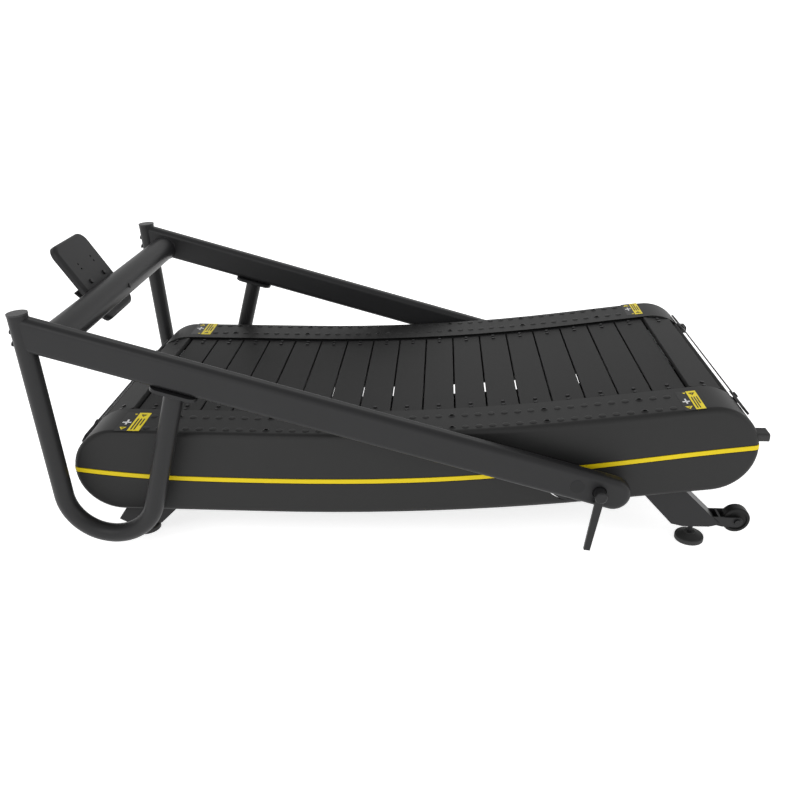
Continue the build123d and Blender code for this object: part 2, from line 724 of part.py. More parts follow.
def post_bolt(z):
    """Bolt that holds the post on the end of an arm, along the arm."""
    head = POST_BOLT_X - POST_BOLT_SLOPE * z
    cap = peg(FRAME_BOLT_HEAD_R, head - 4.0, head)
    bolt = fillet(cap.edges().sort_by(Axis.Z)[0], 2) + peg(FRAME_BOLT_R, head, head + 58.0)
    return Pos(0, ARM_MID_Y, z) * Rot(0, 90, 0) * bolt


def flange_bolt(x):
    """Bolt up through a loop's flange into the bottom wall of an arm."""
    low = -ARM_HALF_HEIGHT - FLANGE_SIZE[2]
    rod = peg(FRAME_BOLT_R, low, low + FLANGE_SIZE[2] + 8)
    return Pos(x, ARM_MID_Y, 0) * (rod + peg(FRAME_BOLT_HEAD_R, low - 5, low))


def arm_body(inset_by):
    """Flat-oval arm in its own axes, with a round front end."""
    half = ARM_HALF_HEIGHT - inset_by
    face = Pos((ARM_REAR + ARM_FRONT) / 2, 0, 0) * Rectangle(ARM_FRONT - ARM_REAR, 2 * half)
    face += Pos(ARM_FRONT, 0, 0) * Circle(half)
    bar = Rot(90, 0, 0) * extrude(face, amount=ARM_Y[1] - ARM_Y[0] - 2 * inset_by)
    bar = Pos(0, ARM_Y[1] - inset_by, 0) * bar
    rims = bar.faces().filter_by(Axis.Y).edges()
    return fillet(rims, ARM_EDGE_R - inset_by)


def build_arm():
    arm = arm_body(0) - arm_body(ARM_WALL)
    arm += disc(0, 0, 2.2 * PIVOT_R, ARM_Y[0] + ARM_WALL, ARM_Y[1] - ARM_WALL)
    arm -= disc(0, 0, PIVOT_R + SHAFT_CLEARANCE, *ARM_Y)
    arm -= disc(0, 0, PIVOT_CAP_R + SHAFT_CLEARANCE, ARM_Y[1] - ARM_WALL, ARM_Y[1])
    arm -= disc(LOCK_RADIUS, 0, CLAMP_HOLE_R, ARM_Y[1] - ARM_WALL, ARM_Y[1])
    arm -= disc(LOCK_RADIUS, 0, CLAMP_BOLT_R, *ARM_Y)
    for offset in (-FLANGE_BOLT_PITCH / 2, FLANGE_BOLT_PITCH / 2):
        arm -= flange_bolt(LOOP_FOOT_X + offset)
    top, corner, _ = loop_corner()
    arm = frame_place() * arm
    post = Plane(origin=top, z_dir=post_direction())
    reach = (corner - top).length
    behind = Pos(-200, 0, reach / 2) * Box(400, 100, 2 * reach)
    back_half = Pos(0, ARM_MID_Y, 0) * Plane(
        origin=top, x_dir=(cos(radians(POST_TILT)), 0, sin(radians(POST_TILT))), z_dir=post.z_dir
    ).location
    arm -= back_half * behind
    arm -= back_half * (Pos(0, 0, 0) * peg(TUBE_R, -50, 200))
    keep("arm_left", arm)
    keep("arm_right", other_side(arm))
    return arm


def build_frame_fasteners():
    pitch = FLANGE_BOLT_PITCH / 2
    length, width, thick = FLANGE_SIZE
    plate = extrude(RectangleRounded(length, width, FLANGE_CORNER), amount=thick)
    plate = Pos(LOOP_FOOT_X, ARM_MID_Y, -ARM_HALF_HEIGHT - thick) * plate
    bolts = [flange_bolt(LOOP_FOOT_X + offset) for offset in (-pitch, pitch)]
    for bolt in bolts:
        plate -= bolt
    keep("loop_flanges", *both(frame_place() * plate))
    keep("flange_bolts", *[s for bolt in bolts for s in both(frame_place() * bolt)])
    posts = [frame_place() * post_bolt(z) for z in POST_BOLT_Z]
    keep("post_bolts", *[s for bolt in posts for s in both(bolt)])


def console_place():
    """Place of the console's frame: x across, y up the plate, z towards the crossbar."""
    tilt = radians(CONSOLE_TILT)
    at = frame_point(*CROSSBAR_AT)
    return Plane(origin=at, x_dir=(0, 1, 0), z_dir=(cos(tilt), 0, sin(tilt))).location


def console_hole(a, b, radius):
    return Pos(a, b, 0) * peg(radius, CONSOLE_C[0], CONSOLE_C[1])


def build_crossbar(arm):
    centre = frame_point(*CROSSBAR_AT)
    half = ARM_Y[0] + ARM_EDGE_R
    tube = disc(centre.X, centre.Z, CROSSBAR_R, -half, half)
    tube -= disc(centre.X, centre.Z, CROSSBAR_R - TUBE_WALL, -half, half)
    envelope = frame_place() * arm_body(0)
    tube -= both(envelope)
    pieces = sorted(tube.solids(), key=lambda solid: -solid.volume)
    pilot = console_place() * Rot(25, 0, 0) * peg(FRAME_BOLT_R, CROSSBAR_R - 6, CROSSBAR_R)
    keep("crossbar", pieces[0] - pilot)


def build_console():
    place = console_place()
    middle = sum(CONSOLE_B) / 2
    outline = RectangleRounded(CONSOLE_WIDTH, CONSOLE_B[1] - CONSOLE_B[0], CONSOLE_CORNER)
    body = extrude(Pos(0, middle, CONSOLE_C[0]) * outline, amount=CONSOLE_C[1] - CONSOLE_C[0])
    body = fillet(body.faces().sort_by(Axis.Z)[-1].edges(), CONSOLE_EDGE)
    body -= Rot(0, 90, 0) * Cylinder(CROSSBAR_R, 2 * CONSOLE_WIDTH)
    for a in (-41.0, 41.0):
        for b in (89.0, 103.0):
            body -= console_hole(a, b, 3.0)
    for a in (-44.0, 44.0):
        body -= console_hole(a, 50.0, 3.0)
    face = CONSOLE_C[0]
    ledge = [
        (LEDGE_BASE, face), (LEDGE_BASE, face - 18), (LEDGE_BASE + 24, face - 24),
        (LEDGE_BASE + 25, face - 21), (LEDGE_BASE + 3, face - 15), (LEDGE_BASE + 3, face),
    ]
    profile = Plane.YZ * make_face(Polyline([(b, c) for b, c in ledge], close=True))
    body += Pos(-LEDGE_HALF, 0, 0) * extrude(profile, amount=2 * LEDGE_HALF)
    keep("console_plate", place * body)

    screws = []
    for a in (-44.0, 44.0):
        head = peg(6.5, CONSOLE_C[1], CONSOLE_C[1] + 4)
        head = fillet(head.edges().sort_by(Axis.Z)[-1], 2)
        screws.append(place * Pos(a, 50, 0) * (head + peg(3.0, CONSOLE_C[0] + 2, CONSOLE_C[1])))
    button = peg(7.0, CROSSBAR_R, CROSSBAR_R + 3)
    button = fillet(button.edges().sort_by(Axis.Z)[-1], 2) + peg(
        FRAME_BOLT_R, CROSSBAR_R - 6, CROSSBAR_R + 1)
    screws.append(place * Rot(25, 0, 0) * button)
    keep("console_screws", *screws)


# ---------------------------------------------------------------- pivot and clamp
def pivot_polar(radius, angle):
    """Point at a distance and an angle from the pivot, in machine axes."""
    turn = radians(angle)
    return Vector(PIVOT[0] + radius * cos(turn), 0, PIVOT[1] + radius * sin(turn))


def hub_face():
    """Oblong section of the hub between the rail and the lock disc."""
    (near, far) = [pivot_polar(*at) for at in HUB_AT]
    across = (far - near).normalized()
    side = Vector(-across.Z, 0, across.X) * HUB_R
    return Face(Wire([
        Line(near + side, far + side),
        ThreePointArc(far + side, far + across * HUB_R, far - side),
        Line(far - side, near - side),
        ThreePointArc(near - side, near - across * HUB_R, near + side),
    ]))


def lock_slot():
    """Arc slot under the pivot that the clamp bolt travels in."""
    start = -FOLD_ANGLE + 1.0
    end = -FOLD_ANGLE - FOLD_TRAVEL - 1.0
    inner, outer = LOCK_RADIUS - LOCK_SLOT_HALF, LOCK_RADIUS + LOCK_SLOT_HALF
    middle = (start + end) / 2
    cap = degrees(LOCK_SLOT_HALF / LOCK_RADIUS)
    edges = [
        ThreePointArc(pivot_polar(outer, start), pivot_polar(outer, middle), pivot_polar(outer, end)),
        ThreePointArc(
            pivot_polar(outer, end), pivot_polar(LOCK_RADIUS, end - cap), pivot_polar(inner, end)
        ),
        ThreePointArc(pivot_polar(inner, end), pivot_polar(inner, middle), pivot_polar(inner, start)),
        ThreePointArc(
            pivot_polar(inner, start), pivot_polar(LOCK_RADIUS, start + cap), pivot_polar(outer, start)
        ),
    ]
    return slab(Face(Wire(edges)), *LOCK_DISC_Y)


def build_pivot():
    hub = slab(hub_face(), RAIL_Y[1], LOCK_DISC_Y[0])
    across, up, thick = HUB_PLATE
    rail_plate = block(
        (PIVOT[0] + across[0], PIVOT[0] + across[1]),
        (RAIL_Y[1], RAIL_Y[1] + thick),
        (PIVOT[1] + up[0], PIVOT[1] + up[1]),
    )
    bracket = below_arm(LOCK_DISC_R, LOCK_DISC_TOP, *LOCK_DISC_Y) - lock_slot()
    bracket += [hub, rail_plate, disc(*PIVOT, HUB_R, LOCK_DISC_Y[1], ARM_Y[0] - BODY_GAP)]
    bracket -= disc(*PIVOT, PIVOT_R, LOCK_DISC_Y[0], ARM_Y[0])
    bracket -= disc(*PIVOT, PIN_HEAD_R, PIN_HEAD_Y, LOCK_DISC_Y[0])
    pin = turned(*PIVOT, (
        (PIN_HEAD_R, PIN_HEAD_Y, LOCK_DISC_Y[0]),
        (PIVOT_R, LOCK_DISC_Y[0], ARM_Y[1] - ARM_WALL + BODY_GAP),
        (PIVOT_CAP_R, ARM_Y[1] - ARM_WALL + BODY_GAP, ARM_Y[1] + BODY_GAP),
    ))
    for name, place in (("left", lambda p: p), ("right", other_side)):
        keep(f"pivot_bracket_{name}", place(bracket))
        keep(f"pivot_pin_{name}", place(pin))


def build_clamp():
    at = frame_point(LOCK_RADIUS, 0)
    bolt = turned(at.X, at.Z, (
        (CLAMP_BOLT_R, 388.0, 470.0),
        (8.5, 388.0, LOCK_DISC_Y[0] - BODY_GAP),
        (10.0, LOCK_DISC_Y[1] + BODY_GAP, ARM_Y[0]),
    ))
    keep("clamp_bolts", *both(bolt))
    boss = disc(0, 0, LEVER_BOSS_R, ARM_Y[0] + ARM_WALL + BODY_GAP, 480.0)
    boss = fillet(boss.edges().sort_by(Axis.Y)[-1], 5)
    top, tip = LEVER_HALF_WIDTH
    blade = polygon([(-top, 0), (top, 0), (tip, -LEVER_LENGTH), (-tip, -LEVER_LENGTH)])
    blade = slab(blade, 461.0, 473.0)
    blade = fillet(blade.edges().filter_by(lambda e: abs(e.center().Y - 467.0) > 5), 2)
    lever = boss + Rot(0, LEVER_LEAN, 0) * blade
    lever -= disc(0, 0, CLAMP_BOLT_R + SHAFT_CLEARANCE, ARM_Y[0], 470.5)
    lever = Pos(at.X, 0, at.Z) * lever
    keep("clamp_lever_left", lever)
    keep("clamp_lever_right", other_side(lever))


def main():
    build_running_belt()
    build_rollers()
    build_support_bearings()
    build_side_structure()
    build_cover_brackets()
    build_bumpers()
    for end in ("front", "rear"):
        build_leg(end)
        build_foot(end)
    build_wheels()
    build_covers()
    build_guards()
    build_handrail()
    arm = build_arm()
    build_frame_fasteners()
    build_crossbar(arm)
    build_console()
    build_pivot()
    build_clamp()
    os.makedirs("parts", exist_ok=True)
    for name, shape in parts.items():
        export_step(shape, f"parts/{name}.step")


main()
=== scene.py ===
"""Looks of a curved manual treadmill: finishes, rail marks, labels, strips of painted gap shade, welds and a
studio.
"""

import json
import logging
import math
from collections.abc import Callable, Iterable
from dataclasses import dataclass
from enum import Enum

import bmesh
import bpy
from mathutils import Matrix, Vector


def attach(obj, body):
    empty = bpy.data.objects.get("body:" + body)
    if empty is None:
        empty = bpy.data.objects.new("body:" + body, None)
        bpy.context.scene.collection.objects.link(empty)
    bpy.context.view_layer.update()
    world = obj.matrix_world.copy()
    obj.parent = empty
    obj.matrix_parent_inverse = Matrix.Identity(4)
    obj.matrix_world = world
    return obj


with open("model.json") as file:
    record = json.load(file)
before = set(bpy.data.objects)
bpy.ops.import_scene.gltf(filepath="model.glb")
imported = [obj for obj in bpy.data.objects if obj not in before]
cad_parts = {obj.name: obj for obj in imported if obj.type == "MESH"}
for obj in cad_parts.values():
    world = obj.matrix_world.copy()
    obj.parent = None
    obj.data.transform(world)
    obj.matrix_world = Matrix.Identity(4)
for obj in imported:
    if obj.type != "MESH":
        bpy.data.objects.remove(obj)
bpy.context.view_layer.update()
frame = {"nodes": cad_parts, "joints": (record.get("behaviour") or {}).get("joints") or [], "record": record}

LOG = logging.getLogger("treadmill")
MM = 0.001
GLOSS_SPREAD = 0.06
RELIEF_STRENGTH = 0.6
RAIL_TOP = 0.108  # distance of the foot rails' surface from the deck's centre curve
UPRIGHT = 0.9  # part of a unit direction along Z, past which it counts as upright
HAIR = 0.01 * MM  # a distance too small to see


class Side(Enum):
    """The two sides of the machine, with the sign of their y."""

    LEFT = 1
    RIGHT = -1


class Body(Enum):
    """Rigid bodies that carry new pieces."""

    BASE = "base"
    UPRIGHTS = "uprights"


# ------------------------------------------------------------------ colours and nodes
def linear(code: str) -> tuple[float, float, float, float]:
    """Turns an sRGB hex colour into linear values.

    Args:
        code: Six hex digits after a hash sign.

    Returns:
        Linear red, green, blue and an alpha of 1.
    """
    values = [int(code[i : i + 2], 16) / 255 for i in (1, 3, 5)]
    curve = [v / 12.92 if v <= 0.04045 else ((v + 0.055) / 1.055) ** 2.4 for v in values]
    return curve[0], curve[1], curve[2], 1.0


def add_node(
    tree: bpy.types.NodeTree, kind: str, settings: dict | None = None, **inputs: object
) -> bpy.types.Node:
    """Adds a shader node with its settings, values and links.

    Args:
        tree: The material's node tree.
        kind: The node's type name after "ShaderNode".
        settings: Properties of the node itself.
        **inputs: Socket names with underscores for spaces, or an underscore and the number of a
            socket, each with a value or a socket to link.

    Returns:
        The new node.
    """
    node = tree.nodes.new("ShaderNode" + kind)
    for name, value in (settings or {}).items():
        setattr(node, name, value)
    for name, value in inputs.items():
        key = int(name[1:]) if name[1:].isdigit() else name.replace("_", " ")
        if isinstance(value, bpy.types.NodeSocket):
            tree.links.new(value, node.inputs[key])
        else:
            node.inputs[key].default_value = value
    return node


# ------------------------------------------------------------------ finishes
@dataclass(frozen=True)
class Finish:
    """A surface made of one material: colour, gloss and a fine relief of a real grain size.

    Attributes:
        name: What the material is and how its surface was made.
        colour: Main colour.
        shade: Second colour of its slow, uneven variation.
        roughness: Mean roughness, which the grain varies a little.
        grain_mm: Size of the surface relief.
        relief_mm: Height of the surface relief.
        metallic: 1 for bare metal.
        ior: Index of refraction.
        coat: Weight of a clear top layer.
        specular: Level of the plain reflection.
        streak: How many times longer the grain is along Y than across, for brushed metal.
        patch_mm: Size of the slow colour variation.
    """

    name: str
    colour: str
    shade: str
    roughness: float
    grain_mm: float
    relief_mm: float
    metallic: float = 0.0
    ior: float = 1.5
    coat: float = 0.0
    specular: float = 0.25
    streak: float = 1.0
    patch_mm: float = 160.0

    def build(self) -> bpy.types.Material:
        """Makes the node material.

        Returns:
            The material, with its pattern in real millimetres on Object coordinates.
        """
        material = bpy.data.materials.new(self.name)
        material.use_nodes = True
        tree = material.node_tree
        tree.nodes.clear()
        at = add_node(tree, "TexCoord").outputs["Object"]
        stretch = (1.0, 1.0 / self.streak, 1.0)
        placed = add_node(tree, "Mapping", Vector=at, Scale=stretch).outputs[0]
        grain = add_node(
            tree, "TexNoise", Vector=placed, Scale=1000.0 / self.grain_mm, Detail=2.0, Roughness=0.5
        ).outputs[0]
        patch = add_node(
            tree, "TexNoise", Vector=at, Scale=1000.0 / self.patch_mm, Detail=3.0, Roughness=0.6
        ).outputs[0]
        tint = add_node(
            tree, "MixRGB", Fac=patch, Color1=linear(self.colour), Color2=linear(self.shade)
        ).outputs[0]
        gloss = add_node(
            tree,
            "MapRange",
            Value=grain,
            To_Min=self.roughness - GLOSS_SPREAD,
            To_Max=self.roughness + GLOSS_SPREAD,
        ).outputs[0]
        bump = add_node(
            tree, "Bump", Height=grain, Strength=RELIEF_STRENGTH, Distance=self.relief_mm * MM
        ).outputs[0]
        shader = add_node(
            tree,
            "BsdfPrincipled",
            Base_Color=tint,
            Roughness=gloss,
            Normal=bump,
            Metallic=self.metallic,
            IOR=self.ior,
            Coat_Weight=self.coat,
            Specular_IOR_Level=self.specular,
        )
        add_node(tree, "OutputMaterial", Surface=shader.outputs[0])
        return material


# Satin polyester powder on steel: near-black charcoal with a fine orange-peel relief.
POWDER_COAT = Finish("powder_coated_steel", "#212122", "#1c1c1d", 0.42, 1.6, 0.05)
# Textured ABS: matt charcoal moulding with an even spark-eroded grain.
MOULDED_ABS = Finish("moulded_abs", "#212121", "#1d1d1d", 0.5, 1.1, 0.06)
# Rubber pressed on an aluminium slat: dull, slightly lighter charcoal.
SLAT_RUBBER = Finish("pressed_slat_rubber", "#222222", "#1d1d1d", 0.58, 1.4, 0.08)
# Endless drive belt: black rubber with a fabric face.
BELT_RUBBER = Finish("woven_belt_rubber", "#161616", "#101010", 0.75, 1.2, 0.1, streak=3.0)
# Moulded foot rubber: soft black with a faint bloom.
FOOT_RUBBER = Finish("moulded_foot_rubber", "#333333", "#292929", 0.6, 1.5, 0.05)
# Solid polyurethane tyre: black, a little glossier than rubber.
TYRE = Finish("cast_polyurethane", "#1e1e1e", "#181818", 0.45, 1.3, 0.04, specular=0.15)
# Turned steel of axles, pulleys and bearings: fine streaks round the machine's width.
TURNED_STEEL = Finish(
    "turned_steel", "#a7a8aa", "#96979a", 0.3, 1.0, 0.01, metallic=1.0, specular=0.5, streak=12.0
)
# Zinc plate on bearing blocks, their bolts and the clamp bolts: pale grey, slightly cloudy.
ZINC_PLATE = Finish(
    "zinc_plated_steel", "#8f9194", "#7d7f82", 0.36, 1.2, 0.01, metallic=1.0, specular=0.5
)
# Black oxide on screws, studs and nuts: deep black with an oily sheen.
BLACK_OXIDE = Finish("black_oxide_steel", "#19191a", "#141415", 0.38, 0.9, 0.02)
# Yellow PVC inlay: even, glossy, clear yellow.
YELLOW_PVC = Finish("extruded_yellow_pvc", "#d2ba08", "#cab206", 0.5, 2.0, 0.01)
# ABS of the console plate: matt charcoal.
CONSOLE_ABS = Finish("moulded_console_abs", "#202021", "#1c1c1d", 0.48, 1.0, 0.05)
# Polypropylene end cap: a touch lighter and smoother than the powder coat.
CAP_PLASTIC = Finish("moulded_polypropylene", "#323233", "#2d2d2e", 0.4, 1.4, 0.02)
# Printed vinyl labels: flat inks under a thin clear film.
BLACK_INK = Finish("printed_black_vinyl", "#0b0b0b", "#080808", 0.35, 2.0, 0.005)
YELLOW_INK = Finish("printed_yellow_vinyl", "#f2dc22", "#e9d21c", 0.4, 2.0, 0.005)
WHITE_INK = Finish("printed_white_vinyl", "#eeeeee", "#e4e4e4", 0.4, 2.0, 0.005)
# Weld bead under powder coat: the same paint, rippled.
WELD_PAINT = Finish("powder_coated_weld", "#202021", "#1b1b1c", 0.4, 3.0, 0.25)
# Painted shade: deep black strips on the covers' inner edges that stand in for the shaded gap beside the
# slats.
GAP_SHADE_BLACK = Finish("painted_gap_shade", "#0d0d0d", "#090909", 0.8, 1.5, 0.02, specular=0.05)

SLOT_FINISH = {
    "frame_paint": POWDER_COAT,
    "bare_steel": TURNED_STEEL,
    "zinc": ZINC_PLATE,
    "black_fastener": BLACK_OXIDE,
    "cover_plastic": MOULDED_ABS,
    "slat_rubber": SLAT_RUBBER,
    "belt_rubber": BELT_RUBBER,
    "foot_rubber": FOOT_RUBBER,
    "wheel_tyre": TYRE,
    "stripe_yellow": YELLOW_PVC,
    "console_plastic": CONSOLE_ABS,
    "cap_plastic": CAP_PLASTIC,
}


class Paintshop:
    """Makes each material once and puts it on pieces."""

    def __init__(self) -> None:
        """Starts with no material made."""
        self.made: dict[str, bpy.types.Material] = {}

    def material(self, finish: Finish) -> bpy.types.Material:
        """Gives the material of a finish, made on first use.

        Args:
            finish: The finish wanted.

        Returns:
            Its material.
        """
        if finish.name not in self.made:
            self.made[finish.name] = finish.build()
        return self.made[finish.name]

    def dress(self, piece: bpy.types.Object, finish: Finish) -> None:
        """Puts one finish all over a piece.

        Args:
            piece: The mesh object.
            finish: Its new finish.
        """
        piece.data.materials.clear()
        piece.data.materials.append(self.material(finish))

    def dress_frame(self) -> None:
        """Gives every carried-over node the finish of its material slot."""
        for entry in frame["record"]["subparts"]:
            self.dress(frame["nodes"][entry["node"]], SLOT_FINISH[entry["material_slot"]])
        LOG.info("dressed %d nodes", len(frame["nodes"]))


# ------------------------------------------------------------------ modelling helpers
def deselect_all() -> None:
    """Leaves object mode with nothing selected."""
    if bpy.context.object and bpy.context.object.mode != "OBJECT":
        bpy.ops.object.mode_set(mode="OBJECT")
    bpy.ops.object.select_all(action="DESELECT")


def select_only(piece: bpy.types.Object) -> None:
    """Selects one piece and makes it active.

    Args:
        piece: The mesh object.
    """
    deselect_all()
    piece.select_set(True)
    bpy.context.view_layer.objects.active = piece


def take(name: str) -> bpy.types.Object:
    """Names the primitive that was just added.

    Args:
        name: The piece's name.

    Returns:
        The active object.
    """
    piece = bpy.context.object
    piece.name = name
    piece.data.name = name
    return piece


def bake_place(piece: bpy.types.Object, place: Matrix) -> bpy.types.Object:
    """Moves a piece's mesh to its place and leaves its object at the origin.

    Args:
        piece: A mesh object.
        place: Where its own axes go.

    Returns:
        The same piece.
    """
    piece.data.transform(place @ piece.matrix_world)
    piece.matrix_world = Matrix.Identity(4)
    return piece


def join(pieces: list[bpy.types.Object], name: str) -> bpy.types.Object:
    """Joins meshes into one piece.

    Args:
        pieces: The meshes.
        name: The piece's name.

    Returns:
        The joined piece.
    """
    deselect_all()
    for piece in pieces:
        piece.select_set(True)
    bpy.context.view_layer.objects.active = pieces[0]
    if len(pieces) > 1:
        bpy.ops.object.join()
    return take(name)


def copies(model: bpy.types.Object, places: Iterable[Matrix], name: str) -> bpy.types.Object:
    """Copies a model to many places, joins the copies and removes the model.

    Args:
        model: A small mesh made once.
        places: Where each copy goes.
        name: The joined piece's name.

    Returns:
        One piece with every copy in it.
    """
    made = []
    for place in places:
        twin = model.copy()
        twin.data = model.data.copy()
        bpy.context.collection.objects.link(twin)
        made.append(bake_place(twin, place))
    bpy.data.objects.remove(model)
    return join(made, name)


def edit(
    piece: bpy.types.Object, pick: Callable[[Vector, Vector], bool], work: Callable[[], object]
) -> None:
    """Runs an operator in edit mode on the faces that a test picks.

    Args:
        piece: The mesh object.
        pick: Test of a face's centre and normal.
        work: The operator call.
    """
    select_only(piece)
    bpy.ops.object.mode_set(mode="EDIT")
    bpy.ops.mesh.select_mode(type="FACE")
    bpy.ops.mesh.select_all(action="DESELECT")
    shape = bmesh.from_edit_mesh(piece.data)
    for face in shape.faces:
        if pick(face.calc_center_median(), face.normal):
            face.select_set(True)
    bmesh.update_edit_mesh(piece.data)
    work()
    bpy.ops.object.mode_set(mode="OBJECT")


def apply_modifier(piece: bpy.types.Object, kind: str, **settings: object) -> None:
    """Adds a modifier with its settings and applies it.

    Args:
        piece: The mesh object.
        kind: The modifier's type.
        **settings: The modifier's properties.
    """
    select_only(piece)
    modifier = piece.modifiers.new(kind.lower(), kind)
    for name, value in settings.items():
        setattr(modifier, name, value)
    bpy.ops.object.modifier_apply(modifier=modifier.name)


def smooth(piece: bpy.types.Object, angle_deg: float = 30.0) -> None:
    """Shades a piece smooth up to an angle between faces.

    Args:
        piece: The mesh object.
        angle_deg: Sharper edges than this stay sharp.
    """
    select_only(piece)
    bpy.ops.object.shade_smooth_by_angle(angle=math.radians(angle_deg))


# ------------------------------------------------------------------ the deck's curve
@dataclass(frozen=True)
class DeckCurve:
    """Centre curve of the deck: rear straight, upward arc, front straight.

    Attributes:
        front: Centre of the front pulleys.
        rear_tilt: Slope of the rear straight, in radians.
        front_tilt: Slope of the front straight, in radians.
        radius: Radius of the arc.
        front_run: Length of the front straight.
        length: Length from pulley centre to pulley centre.
    """

    front: Vector
    rear_tilt: float = math.radians(-0.36)
    front_tilt: float = math.radians(7.55)
    radius: float = 5.702
    front_run: float = 0.259
    length: float = 1.409823

    def place(self, s: float, offset: float, y: float = 0.0) -> Matrix:
        """Gives a place on the deck.

        Args:
            s: Distance forward of the rear pulleys' centre, in metres.
            offset: Distance above the centre curve.
            y: Distance to the left of the middle.

        Returns:
            A frame with x along the deck to the front and z away from the curve.
        """
        turn = self.front_tilt - self.rear_tilt
        rear_run = self.length - self.radius * turn - self.front_run
        bent = min(max(s - rear_run, 0.0), self.radius * turn)
        angle = self.rear_tilt + bent / self.radius
        run = s - rear_run - bent
        end_x = self.front.x - self.front_run * math.cos(self.front_tilt)
        end_z = self.front.z - self.front_run * math.sin(self.front_tilt)
        middle_x = end_x - self.radius * math.sin(self.front_tilt)
        middle_z = end_z + self.radius * math.cos(self.front_tilt)
        reach = self.radius - offset
        x = middle_x + reach * math.sin(angle) + run * math.cos(angle)
        z = middle_z - reach * math.cos(angle) + run * math.sin(angle)
        return Matrix.Translation((x, y, z)) @ Matrix.Rotation(-angle, 4, "Y")


def joint_place(name: str) -> Vector:
    """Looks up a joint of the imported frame.

    Args:
        name: The joint's name.

    Returns:
        The point that it turns about.
    """
    return next(Vector(j["pos_m"]) for j in frame["joints"] if j["name"] == name)


DECK = DeckCurve(front=joint_place("front_roller_spin"))


# ------------------------------------------------------------------ foot rails
@dataclass
class RailMarks:
    """Two rows of raised round marks on each foot rail, open round the cover screws.

    Attributes:
        pitch: Distance from mark to mark.
        first_screw: Distance along the deck of the first cover screw.
        screw_every: Marks from one screw to the next.
        before: Marks behind the first screw.
        count: Marks in a row.
        rows: Distances of the two rows from the machine's middle.
        radius: Radius of a mark at its foot.
        height: Height of a mark.
        eye: Radius of the opening round a screw.
        crown: Radius of a mark at its top, as a share of that at its foot.
        step: Width of the rim inside the crown, as a share of the radius.
        dome: How far the middle of the crown rises, as a share of the height.
        sink: How far a mark is sunk into the rail.
    """

    pitch: float = 0.225 / 7
    first_screw: float = 0.140
    screw_every: int = 7
    before: int = 2
    count: int = 40
    rows: tuple[float, float] = (0.300, 0.363)
    radius: float = 0.0095
    height: float = 0.0016
    eye: float = 0.0052
    crown: float = 0.76
    step: float = 0.25
    dome: float = 0.12
    sink: float = 0.00005

    @staticmethod
    def is_crown(centre: Vector, normal: Vector) -> bool:
        """Picks the face in the middle of a mark's top.

        Args:
            centre: The face's centre.
            normal: Its normal.

        Returns:
            Whether it is that face.
        """
        return normal.z > UPRIGHT and centre.xy.length < HAIR

    def model_button(self) -> bpy.types.Object:
        """Models a plain mark: a low disc with a sloping rim.

        Returns:
            The mark, round its own Z.
        """
        deselect_all()
        bpy.ops.mesh.primitive_cone_add(
            vertices=24,
            radius1=self.radius,
            radius2=self.crown * self.radius,
            depth=self.height,
            end_fill_type="NGON",
        )
        mark = take("mark")
        edit(mark, self.is_crown, lambda: bpy.ops.mesh.inset(thickness=self.step * self.radius))
        lift = (0, 0, self.dome * self.height)
        edit(mark, self.is_crown, lambda: bpy.ops.transform.translate(value=lift))
        edit(mark, lambda c, n: n.z < -UPRIGHT, lambda: bpy.ops.mesh.delete(type="ONLY_FACE"))
        smooth(mark, 40)
        return mark

    def model_ring(self) -> bpy.types.Object:
        """Models a mark with an opening for a screw.

        Returns:
            The mark, round its own Z.
        """
        mark = self.model_button()
        spread = 2 * self.eye / self.radius
        depth = {"value": (0, 0, -1.1 * self.height)}
        edit(mark, self.is_crown, lambda: bpy.ops.mesh.inset(thickness=HAIR))
        edit(mark, self.is_crown, lambda: bpy.ops.transform.resize(value=(spread, spread, 1)))
        edit(mark, self.is_crown, lambda: bpy.ops.mesh.extrude_region_move(TRANSFORM_OT_translate=depth))
        edit(mark, self.is_crown, lambda: bpy.ops.mesh.delete(type="FACE"))
        return mark

    def build(self, shop: Paintshop) -> None:
        """Makes the marks of both rails.

        Args:
            shop: Where the finishes come from.
        """
        for side in Side:
            for has_screw, model in ((False, self.model_button), (True, self.model_ring)):
                places = [
                    DECK.place(
                        self.first_screw + (i - self.before) * self.pitch,
                        RAIL_TOP + self.height / 2 - self.sink,
                        side.value * row,
                    )
                    for i in range(self.count)
                    if ((i - self.before) % self.screw_every == 0) is has_screw
                    for row in self.rows
                ]
                kind = "screw_marks" if has_screw else "rail_marks"
                piece = copies(model(), places, f"{kind}_{side.name.lower()}")
                shop.dress(piece, MOULDED_ABS)
                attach(piece, Body.BASE.value)
                LOG.info("%s: %d marks", piece.name, len(places))


